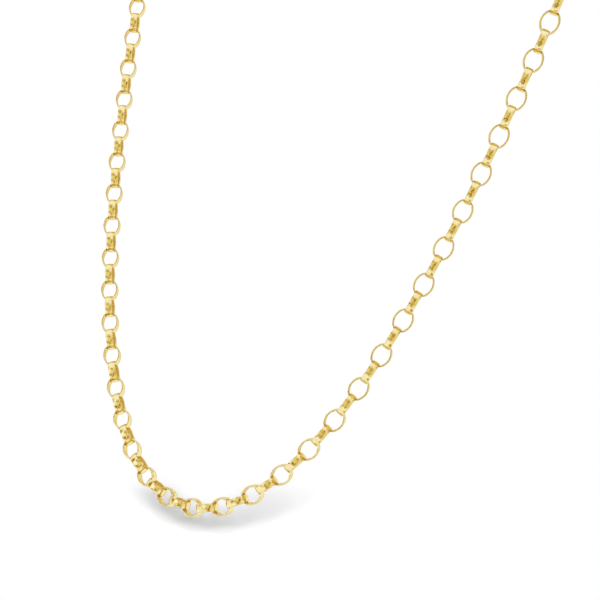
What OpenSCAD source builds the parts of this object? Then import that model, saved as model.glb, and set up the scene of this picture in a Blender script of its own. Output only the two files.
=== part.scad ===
// Rolo chain necklace: a whole loop of alike oval links, each turned a quarter turn from the
// last, closed by one plain bolt ring at the back of the neck. Millimetres, +Z up, +X to the
// right as seen from in front, +Y towards the back. The origin is at the nape, where the
// necklace hangs, so the chest hangs below it and in front of it.

/* [Link] */
// Outer length of a link, along the chain
link_len = 4.2; // [4:0.01:4.6]
// Outer width of a link, across its opening
link_w = 3.27; // [3.1:0.01:3.4]
// Radius of the bow at each end of a link, at the middle of the wall
end_bow_r = 1.3; // [1.2:0.01:1.36]
// Width of the band that a link is bent from
band_w = 1.24; // [1:0.02:1.4]
// Thickness of the band at its middle
band_t = 0.25; // [0.22:0.01:0.3]
// Width of the flat along the middle of the band, inside and outside
band_flat = 0.56; // [0.4:0.02:0.7]
// How far the outer face falls from the flat to the rim
outer_fall = 0.06; // [0.04:0.01:0.06]
// How far the inner face falls from the flat to the rim
inner_fall = 0.13; // [0.09:0.01:0.13]
// How much slimmer the end bows are than the sides, where they are joined
joint_step = 0.005; // [0.004:0.001:0.01]
// Length of an end bow that lies inside each side at the joint
joint_lap = 0.1; // [0.08:0.01:0.14]

/* [Fit] */
// Clear space left between two hooked links along the chain
hook_gap = 0.205; // [0.18:0.005:0.25]
// Clear space left between an end link and the ring
ring_gap = 0.15; // [0.12:0.01:0.3]

/* [Front] */
// Radius of the bend at the lowest point of the chain
bottom_r = 21; // [18:0.5:26]
// Length of each front arm, from the lowest point up to the side of the neck
front_half = 117; // [105:1:125]
// Angle that the chest leans back from upright
lean = 23; // [10:1:35]
// Angle that the links of the left arm are turned away from lying flat
left_turn = 34.5; // [20:0.5:45]
// Angle that the links of the right arm are turned away from lying flat
right_turn = 38; // [20:0.5:45]
// Length of chain that the turn from one arm to the other takes
turn_spread = 29; // [20:1:50]
// Place of the middle of that turn, to the right of the lowest point
turn_at = -5; // [-10:1:10]
// How far the whole chain has slid round towards the right
slide = -0.18; // [-1:0.01:1]

/* [Neck] */
// Distance from the top of the front arms back to the nape
neck_depth = 91; // [85:1:105]
// Height of the nape above the top of the front arms
nape_rise = 52; // [40:1:60]
// Length over which an arm keeps its slope as it leaves the front
rise_pull = 53; // [40:1:60]
// Length over which the chain runs level to each side of the nape
nape_pull = 46; // [35:1:55]

/* [Ring] */
// Inner radius of the bolt ring
ring_r = 1.9; // [1.7:0.05:2.4]
// Diameter of the ring's wire
ring_wire = 1.0; // [0.9:0.05:1.1]
// Diameter of the thumb piece's stem
stem_d = 0.7; // [0.5:0.05:0.8]
// Diameter of the thumb piece's round end
thumb_d = 1.1; // [0.9:0.05:1.3]
// Distance from the ring's wire out to the middle of the thumb piece's end
thumb_out = 1.3; // [1:0.05:1.6]

/* [Hidden] */
gold = [0.90, 0.74, 0.38];
arc_fn = 48;
wire_fn = 24;

// The outline of a link: two end bows and two flatter sides that run smoothly into them
half_len = (link_len - band_t) / 2;
half_w = (link_w - band_t) / 2;
side_bow_r = (half_len * half_len + half_w * half_w - 2 * half_len * end_bow_r)
    / (2 * (half_w - end_bow_r));
end_at = half_len - end_bow_r;
side_at = side_bow_r - half_w;
bow_angle = atan2(side_at, end_at);
lap_angle = joint_lap / end_bow_r * 180 / PI;

// The pitch of the chain: an inner length less what the two crossing bands take up
inner_bow_r = end_bow_r - band_t / 2;
function bow_depth(x) = inner_bow_r - sqrt(inner_bow_r * inner_bow_r - x * x);
nesting = 2 * max(bow_depth(band_flat / 2), bow_depth(band_w / 2) - inner_fall);
link_pitch = link_len - 2 * band_t - nesting - hook_gap;

// The ring hooks an end link at this distance from the ring's centre
function ring_depth(x) = ring_r - sqrt(ring_r * ring_r - x * x);
ring_nesting = max(ring_depth(band_flat / 2), ring_depth(band_w / 2) - inner_fall);
ring_reach = half_len - band_t / 2 + ring_r - ring_nesting - ring_gap;

// Half of the loop, on the right, from the lowest point of the front
function arm(s) = let (
    up = sqrt(s * s + bottom_r * bottom_r) - bottom_r,
    x = bottom_r * ln(s / bottom_r + sqrt(s * s / (bottom_r * bottom_r) + 1))
) [x, up * sin(lean), up * cos(lean)];
function unit(v) = v / norm(v);
arm_top = arm(front_half);
arm_slope = unit(arm(front_half + 0.1) - arm_top);
nape = [0, arm_top[1] + neck_depth, arm_top[2] + nape_rise];
neck_curve = [arm_top, arm_top + rise_pull * arm_slope, nape + [nape_pull, 0, 0], nape];
function neck_point(t) = let (u = 1 - t)
    u * u * u * neck_curve[0] + 3 * u * u * t * neck_curve[1]
    + 3 * u * t * t * neck_curve[2] + t * t * t * neck_curve[3];
neck_steps = 160;
neck_table = [
    for (i = 0, run = 0; i <= neck_steps;
        run = run + norm(neck_point((i + 1) / neck_steps) - neck_point(i / neck_steps)), i = i + 1)
    [run, i / neck_steps]
];
neck_len = neck_table[neck_steps][0];
loop_half = front_half + neck_len;

// The whole loop: s runs from the nape down the left arm, through 0 at the lowest point, and
// up the right arm to the nape again
function round_loop(s) = s > loop_half ? s - 2 * loop_half : s < -loop_half ? s + 2 * loop_half : s;
function half_point(d) = d <= front_half ? arm(d) : neck_point(lookup(d - front_half, neck_table));
function route(s) = let (r = round_loop(s), p = half_point(abs(r)))
    [sign(r) * p[0], p[1], p[2]] - nape;
reach_step = 0.1;
function along(s) = unit(route(s + reach_step) - route(s - reach_step));

// How far round the neck a place is, from 0 on the front to 1 at the nape, with a soft start
function round_neck(s) = let (w = min(1, max(0, (abs(round_loop(s)) - front_half) / neck_len)))
    w * w * (3 - 2 * w);

// The way out from the body: off the chest in front, and away from the neck's middle behind
chest_out = [0, -cos(lean), sin(lean)];
neck_middle_y = -(arm_top[1] + neck_depth) / 2;
function body_out(s) = let (
    p = route(s),
    out = unit([p[0], p[1] - neck_middle_y, 0]),
    w = round_neck(s),
    mixed = (1 - w) * chest_out + w * out,
    t = along(s)
) unit(mixed - (mixed * t) * t);

// The turn of the links about the chain: opposite on the two arms, and half way between flat
// and upright at the nape
rest_turn = 45;
function soft_step(x) = (1 - exp(-2 * x)) / (1 + exp(-2 * x));
function turn(s) = let (
    r = round_loop(s),
    share = (1 + soft_step((r - turn_at) / turn_spread)) / 2,
    last_turn = r < 0 ? -left_turn : right_turn
) share * right_turn - (1 - share) * left_turn
    + (rest_turn * sign(r) - last_turn) * round_neck(r);

// A place on the chain is its middle, its way along and its link's opening, which faces out
function facing(s, angle) = let (t = along(s), out = body_out(s))
    cos(angle) * out + sin(angle) * cross(t, out);
function face_place(s) = [route(s), along(s), facing(s, turn(s))];

// The links: an even count, evenly spaced, and never further apart than the pitch
chain_run = 2 * (loop_half - ring_reach);
pair_count = ceil((chain_run / link_pitch - 1) / 2);
link_count = 2 * pair_count + 2;
spacing = chain_run / (link_count - 1);
half_count = link_count / 2;
function link_s(i) = (i - (link_count - 1) / 2) * spacing + slide;

// Every second link lies on the route, and the one between hangs from its neighbours' ends.
// Across its own opening it lies as far out of the bend as it would lie inside it, because
// there the bend turns in its own end bows and not in its neighbours'.
function between(s, a, b) = let (
    start = a[0] + end_at * a[1],
    finish = b[0] - end_at * b[1],
    t = unit(finish - start),
    side = unit(a[2] + b[2]),
    middle = (start + finish) / 2
) [middle - 2 * ((middle - route(s)) * side) * side, t, unit(cross(side, t))];
function last_place(s) = let (t = along(s)) [route(s), t, cross(facing(s, turn(s)), t)];
function link_place(i) =
    i % 2 == 0 ? face_place(link_s(i)) :
    i == link_count - 1 ? last_place(link_s(i)) :
    between(link_s(i), face_place(link_s(i - 1)), face_place(link_s(i + 1)));

module put(place) {
    p = place[0];
    t = place[1];
    n = place[2];
    c = cross(n, t);
    multmatrix([
        [t[0], c[0], n[0], p[0]],
        [t[1], c[1], n[1], p[1]],
        [t[2], c[2], n[2], p[2]],
        [0, 0, 0, 1]
    ]) children();
}

// The cut through the band, at r from the centre of its bend and thinner by less all round
module band_section(r, less = 0) {
    out = r + band_t / 2 - less;
    in = r - band_t / 2 + less;
    rim = band_w / 2 - less;
    flat = band_flat / 2;
    polygon([
        [out, -flat], [out, flat], [out - outer_fall, rim], [in + inner_fall, rim],
        [in, flat], [in, -flat], [in + inner_fall, -rim], [out - outer_fall, -rim]
    ]);
}

module end_bow()
    translate([end_at, 0, 0])
        rotate_extrude(
            angle = 2 * (bow_angle + lap_angle), start = -bow_angle - lap_angle, $fn = arc_fn
        ) band_section(end_bow_r, joint_step);

module side_bow()
    translate([0, -side_at, 0])
        rotate_extrude(angle = 180 - 2 * bow_angle, start = bow_angle, $fn = arc_fn)
            band_section(side_bow_r);

module link()
    for (half = [0, 180])
        rotate([0, 0, half]) {
            end_bow();
            side_bow();
        }

module links(first, last)
    color(gold) for (i = [first : last]) put(link_place(i)) link();

module chain_left() links(0, half_count - 1);

module chain_right() links(half_count, link_count - 1);

module clasp() {
    wire_r = ring_wire / 2;
    middle = ring_r + wire_r;
    place = [route(loop_half + slide), along(loop_half + slide), facing(loop_half + slide, rest_turn)];
    color(gold) put(place) {
        rotate_extrude($fn = arc_fn) translate([middle, 0]) circle(r = wire_r, $fn = wire_fn);
        translate([0, middle, 0]) rotate([-90, 0, 0])
            cylinder(h = thumb_out, d = stem_d, $fn = wire_fn);
        translate([0, middle + thumb_out, 0]) sphere(d = thumb_d, $fn = wire_fn);
    }
}

chain_left();
chain_right();
clasp();
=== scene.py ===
# %% [markdown]
# # A rolo chain necklace in polished yellow gold
# The necklace is a closed loop of 148 alike oval links and a bolt ring. Each link is one flat band of
# metal bent to an oval, and each is turned a quarter turn from the last, so that we see one as a thin
# ring and the next as a broad band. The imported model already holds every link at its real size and
# place. What it lacks is a surface: its links are coarse, and all of one plain colour. This lesson
# reads where the links lie, models one link finely and lays a copy over each coarse one. It does the
# same for the bolt ring, and then builds gold, light and camera.

import math

import bpy
import numpy as np
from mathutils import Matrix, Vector


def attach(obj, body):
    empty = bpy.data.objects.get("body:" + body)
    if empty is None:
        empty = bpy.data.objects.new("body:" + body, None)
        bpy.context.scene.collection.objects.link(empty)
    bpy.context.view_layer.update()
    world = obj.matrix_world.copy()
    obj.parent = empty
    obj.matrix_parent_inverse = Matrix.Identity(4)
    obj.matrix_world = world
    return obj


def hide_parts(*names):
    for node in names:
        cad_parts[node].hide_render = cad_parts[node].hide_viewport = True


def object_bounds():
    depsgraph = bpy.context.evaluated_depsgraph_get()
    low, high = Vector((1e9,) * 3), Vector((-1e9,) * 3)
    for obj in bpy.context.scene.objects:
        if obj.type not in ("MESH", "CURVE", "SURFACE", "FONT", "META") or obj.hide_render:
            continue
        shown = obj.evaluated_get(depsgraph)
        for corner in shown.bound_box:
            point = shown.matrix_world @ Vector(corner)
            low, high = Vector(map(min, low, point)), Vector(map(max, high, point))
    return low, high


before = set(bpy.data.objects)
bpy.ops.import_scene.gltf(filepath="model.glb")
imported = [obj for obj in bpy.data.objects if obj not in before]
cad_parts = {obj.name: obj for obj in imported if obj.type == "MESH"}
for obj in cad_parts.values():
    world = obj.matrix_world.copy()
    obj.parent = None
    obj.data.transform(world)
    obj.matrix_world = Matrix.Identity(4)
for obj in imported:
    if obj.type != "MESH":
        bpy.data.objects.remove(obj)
cad_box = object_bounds()
MM = 0.001
print("nodes:", sorted(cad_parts))
print("box in mm:", [round((b - a) / MM, 1) for a, b in zip(*cad_box)])

# %% [markdown]
# ## Where the links lie
# Each half of the chain is one node, a mesh in which 74 links lie loose. We could type the chain's
# curve in again and work out every place from it, but then two files would have to agree for ever. It
# is safer to read the places from the model. Corners that are joined by a triangle belong to the same
# link, so we give each corner a number, and let the lowest number spread over the triangles until
# nothing changes. What still shares a number is one link.

# %% Part a node into its loose solids
SAME_SPOT = 0.0001 * MM


def loose_solids(node):
    """The corners of each loose solid's triangles, as one array of triangles for each solid."""
    mesh = node.data
    corners = np.empty(len(mesh.vertices) * 3)
    mesh.vertices.foreach_get("co", corners)
    mesh.calc_loop_triangles()
    faces = np.empty(len(mesh.loop_triangles) * 3, int)
    mesh.loop_triangles.foreach_get("vertices", faces)
    cells = np.round(corners.reshape(-1, 3) / SAME_SPOT)
    spots, number = np.unique(cells, axis=0, return_inverse=True)
    faces = number.ravel()[faces].reshape(-1, 3)
    label = np.arange(len(spots))
    changed = True
    while changed:
        spread = label.copy()
        np.minimum.at(spread, faces, label[faces].min(axis=1)[:, None])
        changed = (spread != label).any()
        label = spread
    solid = label[faces[:, 0]]
    return [spots[faces[solid == s]] * SAME_SPOT for s in np.unique(solid)]


halves = {name: loose_solids(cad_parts[name]) for name in ("chain_left", "chain_right")}
for name, solids in halves.items():
    print(name, "holds", len(solids), "links")

# %% [markdown]
# ## Which way each link lies
# A link is longest along the chain, less wide across its opening, and narrowest through it. That is
# all we need to find its three directions: the way its surface is spread about its middle is greatest
# along the chain and least along the axis of the opening. The eigenvectors of the spread are those
# directions. Each triangle counts by its area, so that finely divided bends don't pull the result.

# %% Find the middle and the directions of each link
def link_pose(triangles):
    """A link's middle and its directions: along the chain, across the opening and through it."""
    a, b, c = triangles[:, 0], triangles[:, 1], triangles[:, 2]
    area = np.linalg.norm(np.cross(b - a, c - a), axis=1)
    centre = (a + b + c) / 3
    middle = (centre * area[:, None]).sum(axis=0) / area.sum()
    off = centre - middle
    spread = (off * area[:, None]).T @ off
    directions = np.linalg.eigh(spread)[1].T
    through, along = directions[0], directions[2]
    along = along if along[2] > 0 else -along
    through = through if through[1] < 0 else -through
    return middle, np.array([along, np.cross(through, along), through])


def reach(triangles, pose):
    """A link's length, width and band width, measured along its own directions."""
    places = (triangles.reshape(-1, 3) - pose[0]) @ pose[1].T
    return places.max(axis=0) - places.min(axis=0)


poses = {name: [link_pose(solid) for solid in solids] for name, solids in halves.items()}
sizes = np.array([reach(s, p) for name in halves for s, p in zip(halves[name], poses[name])])
link_length, link_width, band_width = np.median(sizes, axis=0)
print("link in mm:", np.round(np.array([link_length, link_width, band_width]) / MM, 2))

# %% [markdown]
# ## The outline of a link
# Seen through its opening, a link is an oval made of four bows: a tight one at each end, where the
# neighbours pull, and a flatter one along each side. Bows that share a tangent where they meet give a
# smooth oval with true round ends, which a stretched circle doesn't. From the length, the width and
# the radius of the end bow, the side bow's radius follows.

# %% Walk round the four bows
BAND_THICKNESS = 0.25 * MM
END_BOW = 1.3 * MM
END_STEPS = 16
SIDE_STEPS = 14

half_length = (link_length - BAND_THICKNESS) / 2
half_width = (link_width - BAND_THICKNESS) / 2
side_bow = (half_length**2 + half_width**2 - 2 * half_length * END_BOW) / (2 * (half_width - END_BOW))
end_middle = half_length - END_BOW
side_middle = side_bow - half_width
meet_angle = math.atan2(side_middle, end_middle)


def outline():
    """Stations round the oval: place, way out, distance walked, and the angle from the end's middle."""
    places, ways, walked, turned = [], [], [], []
    run = 0.0
    for face in (1.0, -1.0):
        bows = (
            (np.array([end_middle, 0.0]), END_BOW, -meet_angle, meet_angle, END_STEPS),
            (np.array([0.0, -side_middle]), side_bow, meet_angle, math.pi - meet_angle, SIDE_STEPS),
        )
        for middle, radius, start, stop, steps in bows:
            for k in range(steps):
                angle = start + (stop - start) * k / steps
                way = np.array([math.cos(angle), math.sin(angle)])
                places.append((middle + radius * way) * face)
                ways.append(way * face)
                walked.append(run + radius * (angle - start))
                turned.append(min(abs(angle), math.pi - abs(angle)))
            run += radius * (stop - start)
    return np.array(places), np.array(ways), np.array(walked), np.array(turned), run


stations, outward, walked, turned, round_length = outline()
print(len(stations), "stations,", round(round_length / MM, 2), "mm round")

# %% [markdown]
# ## The cut through the band
# The band isn't a flat strip: it is rolled a little thicker in the middle than at its rims, and its
# rims are rounded by polishing. Light tells us so, because a flat strip would flash all at once. At
# the ends the band is bevelled inside, so that the next link can nest in it. Along the sides nothing
# rubs, and the band stays as thick as it was rolled, and a little wider. We draw both cuts with
# equally many points, and can then blend one into the other round the link.

# %% Draw the two cuts
SHOULDER = 2.2
OUTER_SPOTS = (0.0, 0.3, 0.56, 0.76, 0.92)
INNER_SPOTS = (0.0, 0.5, 0.85)
OUTER_ANGLES = (40, 90)
INNER_ANGLES = (90, 140)
END_WIDTH = 1.04 * band_width
SIDE_WIDTH = 1.07 * band_width
SIDE_THICKNESS = 0.35 * MM


def band_cut(width, thick, outer_fall, inner_fall, rim):
    """Points round a cut, as (across the band, out from its middle), outer face first."""
    flat = width / 2 - rim
    outer = [(s * flat, thick / 2 - outer_fall * s**SHOULDER) for s in OUTER_SPOTS]
    inner = [(s * flat, -thick / 2 + inner_fall * s**SHOULDER) for s in INNER_SPOTS]
    high = thick / 2 - outer_fall - rim
    low = -thick / 2 + inner_fall + rim
    high_bends = [(high, math.radians(a)) for a in OUTER_ANGLES]
    low_bends = [(low, math.radians(a)) for a in INNER_ANGLES]
    edge = [(flat + rim * math.sin(a), z + rim * math.cos(a)) for z, a in high_bends + low_bends]
    one_side = outer + edge + inner[::-1]
    other_side = [(-x, z) for x, z in one_side[1:-1]][::-1]
    return np.array(one_side + other_side)


end_points = band_cut(
    END_WIDTH, BAND_THICKNESS, outer_fall=0.055 * MM, inner_fall=0.125 * MM, rim=0.03 * MM
)
side_points = band_cut(
    SIDE_WIDTH, SIDE_THICKNESS, outer_fall=0.075 * MM, inner_fall=0.03 * MM, rim=0.05 * MM
)
columns = len(end_points)
print(columns, "points round each cut")

# %% [markdown]
# ## One fine link
# Sweeping the cut round the outline gives a grid of corners, one ring of them at each station, and
# neighbouring rings are joined with four-sided faces. The next link lies within about 35 degrees of an
# end's middle. Beyond that the end's cut gives way to the side's, over a soft step.

# %% Sweep the cuts round the outline
NEST_ENDS = math.radians(36)
SIDE_STARTS = math.radians(50)


def soft_step(low, high, x):
    """0 below low, 1 above high, and a smooth rise between."""
    t = np.clip((x - low) / (high - low), 0, 1)
    return t * t * (3 - 2 * t)


def grid_faces(rows, columns, closed=True):
    """The four-sided faces of a grid of corners that is closed round each row, and over the rows too."""
    i, j = np.divmod(np.arange((rows if closed else rows - 1) * columns), columns)
    here, there, nxt = i * columns, (i + 1) % rows * columns, (j + 1) % columns
    return np.stack([here + j, there + j, there + nxt, here + nxt], axis=1)


def fine_link():
    """The corners of a link, the way out of the metal at each, and its four-sided faces."""
    rings, ways = [], []
    for k, (place, way) in enumerate(zip(stations, outward)):
        on_end = k % (END_STEPS + SIDE_STEPS) < END_STEPS
        share = float(soft_step(NEST_ENDS, SIDE_STARTS, turned[k])) if on_end else 1.0
        cut = (1 - share) * end_points + share * side_points
        around = np.roll(cut, -1, axis=0) - np.roll(cut, 1, axis=0)
        tilt = np.stack([-around[:, 1], around[:, 0]], axis=1)
        tilt /= np.linalg.norm(tilt, axis=1)[:, None]
        tilt *= np.sign((tilt * (cut - cut.mean(axis=0))).sum(axis=1))[:, None]
        rings.append(np.column_stack([place + cut[:, 1:] * way, cut[:, 0]]))
        ways.append(np.column_stack([tilt[:, 1:] * way, tilt[:, 0]]))
    return np.concatenate(rings), np.concatenate(ways), grid_faces(len(stations), columns)


link_corners, link_ways, link_faces = fine_link()
print(len(link_corners), "corners and", len(link_faces) * 2, "triangles a link")

# %% [markdown]
# ## Facets, and no two links alike
# A chain of this kind is stamped and then finished by hand. The dies leave faint flats on the outer
# face, the same on every link, and the hand adds a little of its own to each. The eye doesn't see them
# in the shape, but in the reflections, which break up where the metal is a hundredth of a millimetre
# or two high or low. We push each corner in or out by a sum of waves round the band. Most of it is
# drawn once for all links, and the rest anew for each. It is far less than the play between two links.

# %% Make the outer face uneven
DIE_WAVES = range(9, 27)
DIE_HEIGHT = 0.04 * MM
DIE_SLANT = 6.0
HAND_WAVES = range(3, 15)
HAND_HEIGHT = 0.014 * MM
HAND_SLANT = 2.0
DIE_SEED = 24

random = np.random.default_rng(DIE_SEED)
round_turn = 2 * np.pi * np.repeat(walked, columns) / round_length
across = link_corners[:, 2] / (band_width / 2)
outer_face = np.tile(end_points[:, 1] > 0, len(stations))


def waves(numbers, height, slant):
    """A sum of waves round the band, each lower the shorter it is, and slanted across the band."""
    total = np.zeros(len(link_corners))
    for number in numbers:
        size, phase, lean = random.normal(), random.uniform(0, 2 * np.pi), random.uniform(-slant, slant)
        total += size * np.cos(number * round_turn + phase + lean * across) / number
    return height * total


die_marks = waves(DIE_WAVES, DIE_HEIGHT, DIE_SLANT) * outer_face


def uneven():
    """How far each corner of one link stands in or out of its true place."""
    return die_marks + waves(HAND_WAVES, HAND_HEIGHT, HAND_SLANT)


print("a trial link stands", round(np.abs(uneven()).max() / MM, 4), "mm out or in at most")

# %% [markdown]
# ## Numbers for the finish
# The gold's finish needs to know where on a link it is. It could be painted in a picture, but numbers
# beside the corners are sharper and need no file. The rim number is 1 on the rims, where the sheet
# was sheared. The nest number is 1 inside the ends, where no wheel reaches, and a little less on the
# rest of the inner face. A third one, the tone number, is the same all over a link and different on
# the next, and is drawn further down, when the links are joined.

# %% Number the corners of a link
RIM_STARTS = 0.8
# Inside a link the colour is painted deeper and redder, partly for tarnish and partly as painted shade
# of the links on one another. The nest number says where.
INNER_TARNISH_AND_SHADE = 0.75
# The rims are painted a little darker, a painted shade on the links' outlines. The rim number says
# where.
rim_number = soft_step(RIM_STARTS, 1.0, np.abs(across))
inner_face = np.tile(end_points[:, 1] < 0, len(stations))
end_station = np.arange(len(stations)) % (END_STEPS + SIDE_STEPS) < END_STEPS
nearness = np.where(end_station, 1 - soft_step(NEST_ENDS / 2, SIDE_STARTS, turned), 0)
nest_number = (INNER_TARNISH_AND_SHADE + (1 - INNER_TARNISH_AND_SHADE) * np.repeat(nearness, columns)) * inner_face
print("inner face:", int(inner_face.sum()), "of the", len(inner_face), "corners of a link")

# %% [markdown]
# ## The map called band
# Polishing marks run along the band, and a map tells the material which way that is. It holds the
# distance round the band and the distance round its cut, in millimetres, so that a mark has the same
# size on every link. Round the cut it counts both ways from the middle of the outer face.

# %% Draw the map called band
def run_of(points):
    """The distance walked round a closed cut, at each point and once more at the start."""
    steps = np.linalg.norm(np.roll(points, -1, axis=0) - points, axis=1)
    return np.concatenate([[0.0], np.cumsum(steps)])


def grid_corners(round_run, cut_run):
    """For each face of the grid, its four corners as (run round the band, run round the cut)."""
    steps = len(cut_run) - 1
    i, j = np.divmod(np.arange((len(round_run) - 1) * steps), steps)
    u = np.stack([round_run[i], round_run[i + 1], round_run[i + 1], round_run[i]], axis=1)
    v = np.stack([cut_run[j], cut_run[j], cut_run[j + 1], cut_run[j + 1]], axis=1)
    return np.stack([u, v], axis=2)


round_run, cut_run = np.append(walked, round_length), run_of(side_points)
band_map = grid_corners(round_run, cut_run)
far_half = np.arange(len(band_map)) % columns >= columns // 2
band_map[far_half, :, 1] -= cut_run[-1]
band_map = band_map.reshape(-1, 2) / MM
print("map of a band in mm:", np.round([band_map.min(axis=0), band_map.max(axis=0)], 2).tolist())

# %% [markdown]
# A second map lays every link flat beside the others, each in a tile of its own, as a sheet of paper
# labels. Nothing in this scene reads it. It is there for whoever wants to paint or bake the finish.

# %% Lay the links flat in tiles
TILE_COLUMNS = 4
TILE_MARGIN = 0.02


def tile_map(links):
    """The map of all links of a half, one tile for each."""
    tile_rows = math.ceil(links / TILE_COLUMNS)
    flat = grid_corners(round_run / round_length, cut_run / cut_run[-1]).reshape(-1, 2)
    inset = TILE_MARGIN + (1 - 2 * TILE_MARGIN) * flat
    down, right = np.divmod(np.arange(links), TILE_COLUMNS)
    spots = np.stack([right, down], axis=1)[:, None, :] + inset[None, :, :]
    return (spots / np.array([TILE_COLUMNS, tile_rows])).reshape(-1, 2)


print("tiles reach", np.round(tile_map(len(poses["chain_left"])).max(axis=0), 3))

# %% [markdown]
# ## Lay a fine link over each coarse one
# Each half becomes one mesh again, in the same frame and on the same spots. Each piece rides on the
# part's only body, and the coarse node whose links it covers is hidden.

# %% Join the fine links of each half
def mapped_mesh(name, corners, faces, maps):
    """A smooth mesh of four-sided faces with its maps."""
    mesh = bpy.data.meshes.new(name)
    mesh.from_pydata(corners.tolist(), [], faces.tolist())
    mesh.shade_smooth()
    for title, places in maps.items():
        mesh.uv_layers.new(name=title).data.foreach_set("uv", places.astype(np.float32).ravel())
    return mesh


def chain_mesh(name, link_poses):
    """One mesh of all the fine links of a half, with its maps and numbers."""
    corners, faces, tones = [], [], []
    for k, (middle, directions) in enumerate(link_poses):
        shape = link_corners + link_ways * uneven()[:, None]
        corners.append(middle + shape @ directions)
        faces.append(link_faces + k * len(link_corners))
        tones.append(np.full(len(link_corners), random.uniform()))
    links = len(link_poses)
    maps = {"band": np.tile(band_map, (links, 1)), "OFBake": tile_map(links)}
    mesh = mapped_mesh(name, np.concatenate(corners), np.concatenate(faces), maps)
    numbers = {
        "rim": np.tile(rim_number, links),
        "nest": np.tile(nest_number, links),
        "tone": np.concatenate(tones),
    }
    for title, values in numbers.items():
        mesh.attributes.new(title, "FLOAT", "POINT").data.foreach_set("value", values.astype(np.float32))
    return mesh


chains = {}
for name, link_poses in poses.items():
    mesh = chain_mesh(name + "_links", link_poses)
    piece = bpy.data.objects.new(name + "_links", mesh)
    bpy.context.scene.collection.objects.link(piece)
    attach(piece, "root")
    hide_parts(name)
    chains[name] = piece
    print(piece.name, "has", len(mesh.polygons) * 2, "triangles")

# %% [markdown]
# ## The bolt ring
# A bolt ring at the nape closes the loop. The photograph doesn't show it, so it is the plainest one
# there is: a ring of round wire with a thumb piece. Its middle and its directions are read from the
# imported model, as those of the links are. The thumb piece pulls the middle of the metal to its own
# side, so we go back by the ring's radius from the far side to find the middle of the ring itself.

# %% Find the ring
RING_WIRE = 1.0 * MM
BALL_RADIUS = 0.55 * MM

ring_solid = loose_solids(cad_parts["clasp"])[0]
ring_middle, (thumb_way, ring_side, ring_axis) = link_pose(ring_solid)


def span(way):
    """How far the ring reaches both ways along a direction, from the middle of its metal."""
    run = (ring_solid.reshape(-1, 3) - ring_middle) @ way
    return run.min(), run.max()


if sum(span(thumb_way)) < 0:
    thumb_way = -thumb_way
ring_side = np.cross(thumb_way, ring_axis)
near_end = span(thumb_way)[0]
outer_radius = (span(ring_side)[1] - span(ring_side)[0]) / 2
wire_run = outer_radius - RING_WIRE / 2
ring_middle = ring_middle + (near_end + outer_radius) * thumb_way
ball_out = span(thumb_way)[1] - BALL_RADIUS
print("ring in mm:", round(2 * outer_radius / MM, 2), "wide, ball", round(ball_out / MM, 2), "out")

# %% [markdown]
# The wire is a circle swept round the ring, and the thumb piece is circles strung along its own axis:
# a thin stem that starts inside the wire, and a ball at its end. Both are rows of circles with equally
# many steps, so one function makes the corners of both.

# %% Sweep the ring and its thumb piece
STEM_RADIUS = 0.35 * MM
RING_STEPS = 96
WIRE_STEPS = 32
BALL_STEPS = 16
STEM_START = 0.001 * MM
BALL_TIP = 0.01
UP = np.array([0.0, 0.0, 1.0])
SIDEWAYS = np.array([1.0, 0.0, 0.0])


def swept(rows):
    """Corners for rows of (middle, way out, way up, radius), each a circle of equally many steps."""
    angles = 2 * np.pi * np.arange(WIRE_STEPS) / WIRE_STEPS
    circles = [
        m + r * (np.cos(angles)[:, None] * out + np.sin(angles)[:, None] * up) for m, out, up, r in rows
    ]
    return np.concatenate(circles)


ring_rows = []
for angle in 2 * np.pi * np.arange(RING_STEPS) / RING_STEPS:
    out = np.array([math.cos(angle), math.sin(angle), 0.0])
    ring_rows.append((wire_run * out, out, UP, RING_WIRE / 2))
neck = math.asin(STEM_RADIUS / BALL_RADIUS)
profile = [(wire_run, STEM_START), (wire_run, STEM_RADIUS), ((wire_run + ball_out) / 2, STEM_RADIUS)]
for angle in np.linspace(neck, math.pi - BALL_TIP, BALL_STEPS):
    profile.append((ball_out - BALL_RADIUS * math.cos(angle), BALL_RADIUS * math.sin(angle)))
thumb_rows = [(np.array([0.0, y, 0.0]), SIDEWAYS, UP, r) for y, r in profile]
ring_corners = np.concatenate([swept(ring_rows), swept(thumb_rows)])
thumb_faces = grid_faces(len(thumb_rows), WIRE_STEPS, closed=False) + len(ring_rows) * WIRE_STEPS
ring_faces = np.concatenate([grid_faces(RING_STEPS, WIRE_STEPS), thumb_faces])
print(len(ring_corners), "corners in the ring and its thumb piece")

# %% [markdown]
# The ring's map called band runs round the ring and round its wire, in millimetres, as a link's does.
# In the map of tiles the ring takes the lower part and the thumb piece the upper part.

# %% Make the ring's mesh
RING_SHARE = 0.8
ring_parts = (
    # length, thickness, steps, and from where to where it lies in the map of tiles
    (2 * np.pi * wire_run, RING_WIRE, RING_STEPS, 0.0, RING_SHARE),
    (BALL_RADIUS + ball_out - wire_run, 2 * STEM_RADIUS, len(thumb_rows) - 1, RING_SHARE, 1.0),
)
bands, tiles = [], []
for length, thickness, steps, first, last in ring_parts:
    share = grid_corners(np.linspace(0, 1, steps + 1), np.linspace(0, 1, WIRE_STEPS + 1)).reshape(-1, 2)
    bands.append(share * (length / MM, np.pi * thickness / MM))
    tiles.append(np.column_stack([share[:, 1], first + (last - first) * share[:, 0]]))
placed = ring_middle + ring_corners @ np.array([ring_side, thumb_way, ring_axis])
ring_maps = {"band": np.concatenate(bands), "OFBake": np.concatenate(tiles)}
ring_mesh = mapped_mesh("clasp_ring", placed, ring_faces, ring_maps)
bolt_ring = bpy.data.objects.new("clasp_ring", ring_mesh)
bpy.context.scene.collection.objects.link(bolt_ring)
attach(bolt_ring, "root")
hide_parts("clasp")
print("clasp_ring has", len(ring_mesh.polygons) * 2, "triangles")

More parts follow.
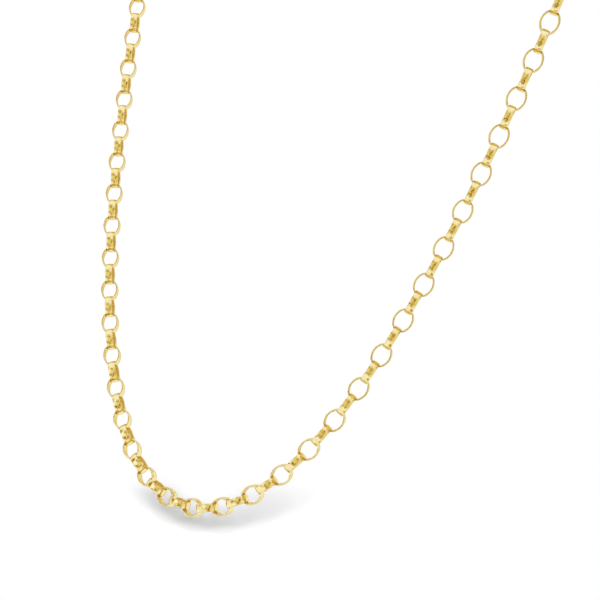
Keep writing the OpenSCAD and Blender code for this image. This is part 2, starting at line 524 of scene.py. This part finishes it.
# %% [markdown]
# ## Small tools for node trees
# A material or a sky is a tree of nodes, and building it in code takes three steps again and again:
# make a node, give an input a number or a link, and take an output. A few short helpers keep the
# recipes below readable. Where a helper is given a plain number it sets the input, and where it is
# given another node's output it links to it. A Mix node has sockets for numbers, vectors and colours
# side by side, so its colour sockets are taken by their count.

# %% Helpers for nodes
FIRST_COLOUR = 6
SECOND_COLOUR = 7
MIXED_COLOUR = 2


def feed(tree, socket, value):
    """Sets an input to a number or a colour, or links another node's output to it."""
    if isinstance(value, bpy.types.NodeSocket):
        tree.links.new(value, socket)
    else:
        socket.default_value = value


def maths(tree, operation, *inputs):
    """A Math node's result, such as maths(tree, "ADD", a, b)."""
    node = tree.nodes.new("ShaderNodeMath")
    node.operation = operation
    for socket, value in zip(node.inputs, inputs):
        feed(tree, socket, value)
    return node.outputs[0]


def rise(tree, value, low, high, to_low=0.0, to_high=1.0):
    """A number that moves smoothly from one end to the other as value goes from low to high."""
    node = tree.nodes.new("ShaderNodeMapRange")
    node.interpolation_type = "SMOOTHSTEP"
    settings = {"Value": value, "From Min": low, "From Max": high, "To Min": to_low, "To Max": to_high}
    for title, number in settings.items():
        feed(tree, node.inputs[title], number)
    return node.outputs["Result"]


def mix(tree, share, first, second, blend="MIX"):
    """A mix of two colours, by a share from 0 to 1."""
    node = tree.nodes.new("ShaderNodeMix")
    node.data_type = "RGBA"
    node.blend_type = blend
    feed(tree, node.inputs["Factor"], share)
    feed(tree, node.inputs[FIRST_COLOUR], first)
    feed(tree, node.inputs[SECOND_COLOUR], second)
    return node.outputs[MIXED_COLOUR]


print("node helpers: feed, maths, rise, mix")

# %% [markdown]
# ## Polishing marks, as a node group
# A polishing wheel leaves fine lines that run the way it turns, and under them the metal is never quite
# flat: it swells softly, and it has the dents of the tools. All are heights, so the group puts out a
# height in millimetres, and a haze, which is how much the lines dull the shine. Links and bolt ring
# both have them, so it is a group, built once and used by each material with its own values. It
# takes the place on the band, the link's tone, and how high each kind of mark is.

# %% Open the group of polishing marks
def new_group(name, inputs, outputs):
    """An empty node group with the given inputs and outputs, and the sockets of its two end nodes."""
    group = bpy.data.node_groups.new(name, "ShaderNodeTree")
    for title, kind, value in inputs:
        socket = group.interface.new_socket(title, in_out="INPUT", socket_type=kind)
        if value is not None:
            socket.default_value = value
    for title, kind in outputs:
        group.interface.new_socket(title, in_out="OUTPUT", socket_type=kind)
    return group, group.nodes.new("NodeGroupInput").outputs, group.nodes.new("NodeGroupOutput").inputs


def noise(tree, place, scale=1.0, detail=2.0):
    """Smooth noise from 0 to 1 at a place."""
    node = tree.nodes.new("ShaderNodeTexNoise")
    feed(tree, node.inputs["Vector"], place)
    node.inputs["Scale"].default_value = scale
    node.inputs["Detail"].default_value = detail
    return node.outputs["Fac"]


def stretched(tree, place, pace, shift):
    """A place on the band, scaled by its own pace along and across it, and moved by shift."""
    parts = tree.nodes.new("ShaderNodeSeparateXYZ")
    feed(tree, parts.inputs[0], place)
    whole = tree.nodes.new("ShaderNodeCombineXYZ")
    feed(tree, whole.inputs[0], maths(tree, "MULTIPLY", parts.outputs[0], pace[0]))
    feed(tree, whole.inputs[1], maths(tree, "MULTIPLY", parts.outputs[1], pace[1]))
    feed(tree, whole.inputs[2], shift)
    return whole.outputs[0]


marks, given, put = new_group(
    "polishing_marks",
    (
        ("Place", "NodeSocketVector", None),
        ("Tone", "NodeSocketFloat", 0.5),
        ("Line Height", "NodeSocketFloat", 0.0002),
        ("Swell Height", "NodeSocketFloat", 0.004),
        ("Dent Height", "NodeSocketFloat", 0.004),
    ),
    (("Height", "NodeSocketFloat"), ("Haze", "NodeSocketFloat")),
)
print("polishing_marks takes", [socket.name for socket in given if socket.name])

# %% [markdown]
# Inside the group, each kind of mark is noise on the map of the band. It is read at a faster pace
# across the band than along it, and so comes out stretched the way that the wheel turns. Lines and
# swells are read at another spot for every link, because no two links meet the wheel alike. The
# dents are read at the same spot for all of them, because they come from one die.

# %% Fill the group of polishing marks
LINE_PACE = (0.7, 14.0)
SWELL_PACE = (1.2, 2.0)
CLOUD_PACE = (1.4, 2.2)
DENT_PACE = (1.3, 3.0)
LINE_DETAIL = 3.0
SWELL_DETAIL = 1.0
LINK_SHIFT = 37.0
CLOUD_SHIFT = 5.0
DENT_SEED = 3.0
HAZY_LINES = (0.45, 0.75)
HAZY_CLOUDS = (0.35, 0.7)

shift = maths(marks, "MULTIPLY", given["Tone"], LINK_SHIFT)
cloud_shift = maths(marks, "ADD", shift, CLOUD_SHIFT)
lines = noise(marks, stretched(marks, given["Place"], LINE_PACE, shift), detail=LINE_DETAIL)
swell = noise(marks, stretched(marks, given["Place"], SWELL_PACE, shift), detail=SWELL_DETAIL)
clouds = noise(marks, stretched(marks, given["Place"], CLOUD_PACE, cloud_shift))
dents = noise(marks, stretched(marks, given["Place"], DENT_PACE, DENT_SEED))
line_height = maths(marks, "MULTIPLY", lines, given["Line Height"])
swell_height = maths(marks, "MULTIPLY", swell, given["Swell Height"])
dent_height = maths(marks, "MULTIPLY", dents, given["Dent Height"])
polished = maths(marks, "ADD", line_height, swell_height)
feed(marks, put["Height"], maths(marks, "ADD", polished, dent_height))
haze = maths(marks, "MULTIPLY", rise(marks, lines, *HAZY_LINES), rise(marks, clouds, *HAZY_CLOUDS))
feed(marks, put["Haze"], haze)
print("polishing_marks has", len(marks.nodes), "nodes")

# %% [markdown]
# ## Rubbed and shaded gold, as a node group
# Gold is yellow because it swallows blue. Where the wheel has rubbed it, it is clean and pale. The
# rims are painted a little deeper, a painted shade on the links' outlines. Inside the links nothing
# polishes it, so a thin tarnish makes it duller there, and its colour is painted deeper and redder,
# partly for the tarnish and partly as painted shade of the links on one another. The group takes
# those places as masks and puts out a colour and a roughness. The metal's colours and its painted
# shades are inputs, so that a bolt ring of another alloy could use the same group.

# %% Build the group of rubbed and shaded gold
DARKEST_LINK = (0.97, 0.96, 0.93, 1)
RIM_SHELTER = 0.6
RIM_SHARE = 0.5
TARNISH_AND_SHADE_SHARE = 0.95
POLISH = 0.05
HAZE_ADDS = 0.07
TARNISH_ADDS = 0.16

rubbed, given, put = new_group(
    "rubbed_and_shaded_gold",
    (
        # The second colour is tarnish mixed with painted shade inside the links, and the third is a
        # painted shade on the rims.
        ("Clean", "NodeSocketColor", (0.92, 0.785, 0.35, 1)),
        ("Tarnished And Shaded", "NodeSocketColor", (0.80, 0.62, 0.22, 1)),
        ("Shaded Rim", "NodeSocketColor", (0.74, 0.62, 0.25, 1)),
        ("Rim", "NodeSocketFloat", 0.0),
        ("Nest", "NodeSocketFloat", 0.0),
        ("Tone", "NodeSocketFloat", 0.5),
        ("Haze", "NodeSocketFloat", 0.0),
    ),
    (("Color", "NodeSocketColor"), ("Roughness", "NodeSocketFloat")),
)
toned = mix(rubbed, 1.0, given["Clean"], DARKEST_LINK, "MULTIPLY")
link_colour = mix(rubbed, given["Tone"], given["Clean"], toned)
sheltered = maths(rubbed, "MULTIPLY", given["Rim"], RIM_SHELTER)
tarnish_and_shade = maths(rubbed, "MULTIPLY", given["Nest"], maths(rubbed, "SUBTRACT", 1.0, sheltered))
rim_share = maths(rubbed, "MULTIPLY", given["Rim"], RIM_SHARE)
# Painted shade: the rims take a deeper colour.
shaded_edge_colour = mix(rubbed, rim_share, link_colour, given["Shaded Rim"])
tarnish_and_shade_share = maths(rubbed, "MULTIPLY", tarnish_and_shade, TARNISH_AND_SHADE_SHARE)
# Tarnish and painted shade: inside the links the colour turns deeper and redder.
feed(rubbed, put["Color"], mix(rubbed, tarnish_and_shade_share, shaded_edge_colour, given["Tarnished And Shaded"]))
polish = maths(rubbed, "ADD", POLISH, maths(rubbed, "MULTIPLY", given["Haze"], HAZE_ADDS))
dulled = maths(rubbed, "MULTIPLY", tarnish_and_shade, TARNISH_ADDS)
feed(rubbed, put["Roughness"], maths(rubbed, "ADD", polish, dulled))
print("rubbed_and_shaded_gold has", len(rubbed.nodes), "nodes")

# %% [markdown]
# ## The gold of the links and of the ring
# A material reads the numbers beside the corners, passes them through the two groups, and hands the
# results to one shader. The heights are in millimetres and the scene is in metres, so the bump's
# distance is one millimetre. Light in the nests has bounced many times from gold to gold, which makes
# it a deep orange. The renderer stops after a few bounces and would leave the nests black, so they
# give off that light themselves. Metal pales at a glancing angle, and the links' specular tint keeps
# it golden there. The ring has no numbers beside its corners, so they read 0.

# %% Mix the gold
NEST_GLOW = (0.16, 0.095, 0.02, 1)
BLACK = (0, 0, 0, 1)
GLANCING_TINT = (0.80, 0.66, 0.36, 1)


def number_of(tree, title):
    """A number that is stored beside the corners."""
    node = tree.nodes.new("ShaderNodeAttribute")
    node.attribute_name = title
    return node.outputs["Fac"]


def use(tree, group, **values):
    """A copy of a node group with its inputs set, and its outputs. An underscore stands for a space."""
    node = tree.nodes.new("ShaderNodeGroup")
    node.node_tree = group
    for title, value in values.items():
        feed(tree, node.inputs[title.replace("_", " ")], value)
    return node.outputs


def polished_gold(name, **heights):
    """Gold whose marks run along the map called band, with the given heights in millimetres."""
    material = bpy.data.materials.new(name)
    material.use_nodes = True
    tree = material.node_tree
    shader = tree.nodes["Principled BSDF"]
    band = tree.nodes.new("ShaderNodeUVMap")
    band.uv_map = "band"
    rim, nest, tone = [number_of(tree, title) for title in ("rim", "nest", "tone")]
    worn = use(tree, marks, Place=band.outputs[0], Tone=tone, **heights)
    finish = use(tree, rubbed, Rim=rim, Nest=nest, Tone=tone, Haze=worn["Haze"])
    deep = rise(tree, nest, INNER_TARNISH_AND_SHADE, 1.0)
    bump = tree.nodes.new("ShaderNodeBump")
    bump.inputs["Distance"].default_value = MM
    feed(tree, bump.inputs["Height"], worn["Height"])
    feed(tree, shader.inputs["Base Color"], finish["Color"])
    feed(tree, shader.inputs["Roughness"], finish["Roughness"])
    feed(tree, shader.inputs["Normal"], bump.outputs[0])
    feed(tree, shader.inputs["Emission Color"], mix(tree, deep, BLACK, NEST_GLOW))
    shader.inputs["Emission Strength"].default_value = 1
    shader.inputs["Metallic"].default_value = 1
    return material


link_gold = polished_gold("link_gold", Line_Height=0.0003, Swell_Height=0.012, Dent_Height=0.046)
link_gold.node_tree.nodes["Principled BSDF"].inputs["Specular Tint"].default_value = GLANCING_TINT
for piece in chains.values():
    piece.data.materials.append(link_gold)
ring_gold = polished_gold("ring_gold", Line_Height=0.0003, Swell_Height=0.006, Dent_Height=0.0)
ring_mesh.materials.append(ring_gold)
print("materials:", [m.name for m in bpy.data.materials])

# %% [markdown]
# ## The tent of light
# Polished gold has almost no look of its own: it shows what stands round it. Jewellery is therefore
# shot in a white tent, which makes it pale and clean, with a few darker and brighter things left in
# sight that draw its form. The world's shader is that tent. It works on a direction, given as the
# angle round the object and the height above the horizon, and lays soft ovals of other light over the
# white. A world shader is easier to aim than real cards and lamps, because nothing in it casts a
# shadow or can come into the picture.

# %% Measure directions in the tent
world = bpy.data.worlds.new("tent")
bpy.context.scene.world = world
world.use_nodes = True
sky = world.node_tree
HALF_TURN = 180.0
DEGREES = HALF_TURN / math.pi


def directions(tree):
    """The angle round the object, from the front towards the right, the height, and the direction."""
    where = tree.nodes.new("ShaderNodeTexCoord").outputs["Generated"]
    parts = tree.nodes.new("ShaderNodeSeparateXYZ")
    feed(tree, parts.inputs[0], where)
    x, y, z = parts.outputs
    angle = maths(tree, "ARCTAN2", x, maths(tree, "MULTIPLY", y, -1.0))
    azimuth = maths(tree, "MULTIPLY", angle, DEGREES)
    height = maths(tree, "MULTIPLY", maths(tree, "ARCSINE", z), DEGREES)
    return azimuth, height, where


def oval(tree, azimuth, height, at, wide, tall, slant):
    """How far out a direction lies in an oval, which is 1 on its edge. A slant lifts its right end."""
    off = maths(tree, "WRAP", maths(tree, "SUBTRACT", azimuth, at[0]), HALF_TURN, -HALF_TURN)
    sideways = maths(tree, "DIVIDE", off, wide)
    lifted = maths(tree, "MULTIPLY", off, slant)
    above = maths(tree, "SUBTRACT", maths(tree, "SUBTRACT", height, at[1]), lifted)
    upwards = maths(tree, "DIVIDE", above, tall)
    squares = [maths(tree, "MULTIPLY", part, part) for part in (sideways, upwards)]
    return maths(tree, "SQRT", maths(tree, "ADD", *squares))


azimuth, height, heading = directions(sky)
print("tent has", len(sky.nodes), "nodes so far")

# %% [markdown]
# The middle of each broad band looks in its own direction, and the directions of all bands of an arm
# lie close together. The two large ovals stand there, so that the bands have a deeper middle and pale
# ends. The slanted oval is the opening that the camera looks through. The small dark ovals, each beside
# or inside a larger one of half dark, are what the dents break up into dark spots. The warm ovals stand
# behind and below the chain, where many of the rings look, and the bright ones give some of the lowest
# links their pale gleam.

# %% List what is left in sight
TENT_WHITE = (1.06, 1.10, 1.35, 1)
BRIGHT = (1.25, 1.40, 2.00, 1)
MIDDLE = (0.86, 0.77, 0.46, 1)
LOW = (0.66, 0.52, 0.23, 1)
OPENING = (0.62, 0.48, 0.22, 1)
DARK = (0.24, 0.095, 0.01, 1)
WARM = (0.60, 0.44, 0.15, 1)
LEFT_IN_SIGHT = (
    # (angle, height) of its middle, half its width, half its height, slant, softness, light
    ((38, 12), 36, 38, 0.0, 0.30, MIDDLE),
    ((12, 47), 24, 20, 0.0, 0.30, MIDDLE),
    ((36, 11), 17, 8, 1.1, 0.40, OPENING),
    ((10, 48), 12, 12, 0.0, 0.40, LOW),
    ((-16, 47), 13, 10, 0.0, 0.40, LOW),
    ((-52, 31), 13, 11, 0.0, 0.40, LOW),
    ((-58, 14), 14, 13, 0.0, 0.40, LOW),
    ((-20, -1), 14, 7, 0.0, 0.40, LOW),
    ((8, 3), 12, 7, 0.0, 0.40, LOW),
    ((45, 25), 12, 9, 1.1, 0.40, DARK),
    ((27, -8), 11, 8, 1.1, 0.40, DARK),
    ((16, 49), 6, 6, 0.0, 0.45, DARK),
    ((-12, 47), 6, 6, 0.0, 0.45, DARK),
    ((-55, 32), 6, 6, 0.0, 0.45, DARK),
    ((-62, 15), 7, 6, 0.0, 0.45, DARK),
    ((-22, 0), 6, 5, 0.0, 0.45, DARK),
    ((7, 4), 6, 5, 0.0, 0.45, DARK),
    ((182, 43), 28, 15, 0.0, 0.30, WARM),
    ((118, 26), 36, 19, 0.0, 0.30, WARM),
    ((17, -52), 18, 13, 0.0, 0.25, WARM),
    ((-76, -56), 34, 12, 0.0, 0.30, WARM),
    ((-24, 44), 7, 8, 0.0, 0.45, BRIGHT),
    ((-22, 20), 9, 12, 0.0, 0.45, BRIGHT),
    ((-84, -28), 26, 9, 0.0, 0.45, BRIGHT),
)
print(len(LEFT_IN_SIGHT), "ovals of light are laid over the white")

# %% [markdown]
# Each oval is laid over the light so far, with a soft edge, so that a later one covers an earlier one.
# Last come the folds of the cloth, which are noise on the direction. They are faint, and only keep
# the white from looking empty.

# %% Lay the ovals and the folds over the white
FOLD_LIGHT = (0.66, 0.50, 0.20, 1)
FOLD_SHARE = 0.3
FOLD_SCALE = 5.0
FOLD_DETAIL = 3.0
FOLD_EDGE = (0.50, 0.60)

tent = TENT_WHITE
for place, wide, tall, slant, soft, tint in LEFT_IN_SIGHT:
    out = oval(sky, azimuth, height, place, wide, tall, slant)
    tent = mix(sky, rise(sky, out, 1.0 - soft, 1.0 + soft, 1.0, 0.0), tent, tint)
folds = rise(sky, noise(sky, heading, FOLD_SCALE, FOLD_DETAIL), *FOLD_EDGE)
tent = mix(sky, maths(sky, "MULTIPLY", folds, FOLD_SHARE), tent, FOLD_LIGHT)
print("tent has", len(sky.nodes), "nodes")

# %% [markdown]
# Only reflections see the tent. What the camera itself sees behind the object is plain white, and the
# floor gets a weak even light from all round, which keeps its shadow from being black.

# %% Show the tent to reflections alone
FILL = 0.05
WHITE = (1, 1, 1, 1)
path = sky.nodes.new("ShaderNodeLightPath")
shiny = path.outputs["Is Glossy Ray"]
seen = path.outputs["Is Camera Ray"]
plain = mix(sky, seen, (FILL, FILL, FILL, 1), WHITE)
light = mix(sky, shiny, plain, tent)
feed(sky, sky.nodes["Background"].inputs["Color"], light)
print("fill light on the floor:", FILL)

# %% [markdown]
# ## The floor
# The floor is a sheet of white paper a little below the lowest link. In the photograph the only shadow
# is the soft one under the bend, and all else is white. So the paper takes the key light only near the
# bend. Away from it the paper's own colour fades to black, and it glows white instead, which no shadow
# can dim. Glow and colour trade places over the same stretch, so the paper stays about equally bright
# all over.

# %% Lay the floor
FLOOR_GAP = 8.0 * MM
FLOOR_SIZE = 30.0
PAPER = (0.9, 0.9, 0.905, 1)
SHADOW_SPOT = (-16.2 * MM, -108.1 * MM)
PAPER_ENDS = 13 * MM
GLOW_STARTS = 28 * MM
PAPER_ROUGHNESS = 0.95

half = FLOOR_SIZE / 2
level = cad_box[0].z - FLOOR_GAP
floor_corners = [(-half, -half, level), (half, -half, level), (half, half, level), (-half, half, level)]
floor_mesh = bpy.data.meshes.new("floor")
floor_mesh.from_pydata(floor_corners, [], [(0, 1, 2, 3)])
floor = bpy.data.objects.new("floor", floor_mesh)
bpy.context.scene.collection.objects.link(floor)
floor.visible_glossy = False

paper = bpy.data.materials.new("pale_paper")
paper.use_nodes = True
sheet = paper.node_tree
surface = sheet.nodes["Principled BSDF"].inputs
away = sheet.nodes.new("ShaderNodeVectorMath")
away.operation = "DISTANCE"
feed(sheet, away.inputs[0], sheet.nodes.new("ShaderNodeTexCoord").outputs["Object"])
feed(sheet, away.inputs[1], (*SHADOW_SPOT, level))
far = rise(sheet, away.outputs["Value"], PAPER_ENDS, GLOW_STARTS)
feed(sheet, surface["Base Color"], mix(sheet, far, PAPER, BLACK))
feed(sheet, surface["Emission Color"], mix(sheet, far, BLACK, WHITE))
feed(sheet, surface["Emission Strength"], 1.0)
feed(sheet, surface["Roughness"], PAPER_ROUGHNESS)
feed(sheet, surface["Specular IOR Level"], 0.0)
floor_mesh.materials.append(paper)
print("floor at", round(level / MM, 1), "mm")

# %% [markdown]
# ## The key light
# The key light is a sun as broad as a softbox, on the camera's side and low. Seen from the camera, the
# shadow then falls just below what casts it, and the light's breadth makes it soft. A sun is simpler
# here than a lamp, because its light has one direction and one strength all along the chain.

# %% Hang the key light
KEY_AZIMUTH = 44.0
KEY_HEIGHT = 22.0
KEY_BREADTH = 13.0
KEY_STRENGTH = 9.1


def direction(azimuth, height):
    """A unit vector from the object towards an angle round it and a height, in degrees."""
    a, h = math.radians(azimuth), math.radians(height)
    return Vector((math.sin(a) * math.cos(h), -math.cos(a) * math.cos(h), math.sin(h)))


key_data = bpy.data.lights.new("key", "SUN")
key_data.energy = KEY_STRENGTH
key_data.angle = math.radians(KEY_BREADTH)
key = bpy.data.objects.new("key", key_data)
bpy.context.scene.collection.objects.link(key)
key.rotation_euler = direction(KEY_AZIMUTH, KEY_HEIGHT).to_track_quat("Z", "Y").to_euler()
key.visible_glossy = False
print("key light from", KEY_HEIGHT, "degrees up")

# %% [markdown]
# ## The camera
# The photograph looks at the bend from the right and a little above it, close enough for the right arm
# to look larger than the left. The camera's place is therefore given from the lowest point of the
# chain, as an angle, a height and a distance, and it aims at a point inside the loop.

# %% Set up the camera
LOWEST = Vector((0.0, -129.24, -142.09)) * MM
CAMERA_AZIMUTH = 45.403
CAMERA_HEIGHT = 17.525
CAMERA_DISTANCE = 273.43 * MM
AIM = Vector((8.907, 20.193, 35.342)) * MM
LENS = 91.8
NEAREST_SEEN = 10 * MM

camera_data = bpy.data.cameras.new("camera")
camera_data.lens = LENS
camera_data.clip_start = NEAREST_SEEN
camera = bpy.data.objects.new("camera", camera_data)
bpy.context.scene.collection.objects.link(camera)
camera.location = LOWEST + CAMERA_DISTANCE * direction(CAMERA_AZIMUTH, CAMERA_HEIGHT)
ahead = LOWEST + AIM - camera.location
camera.rotation_euler = ahead.to_track_quat("-Z", "Y").to_euler()
bpy.context.scene.camera = camera
bpy.context.scene.view_settings.view_transform = "Standard"
print("camera looks along", [round(c, 5) for c in ahead.normalized()])

# %% [markdown]
# ## Hand over
# We bring the scene up to date.

# %% Finish
bpy.context.view_layer.update()
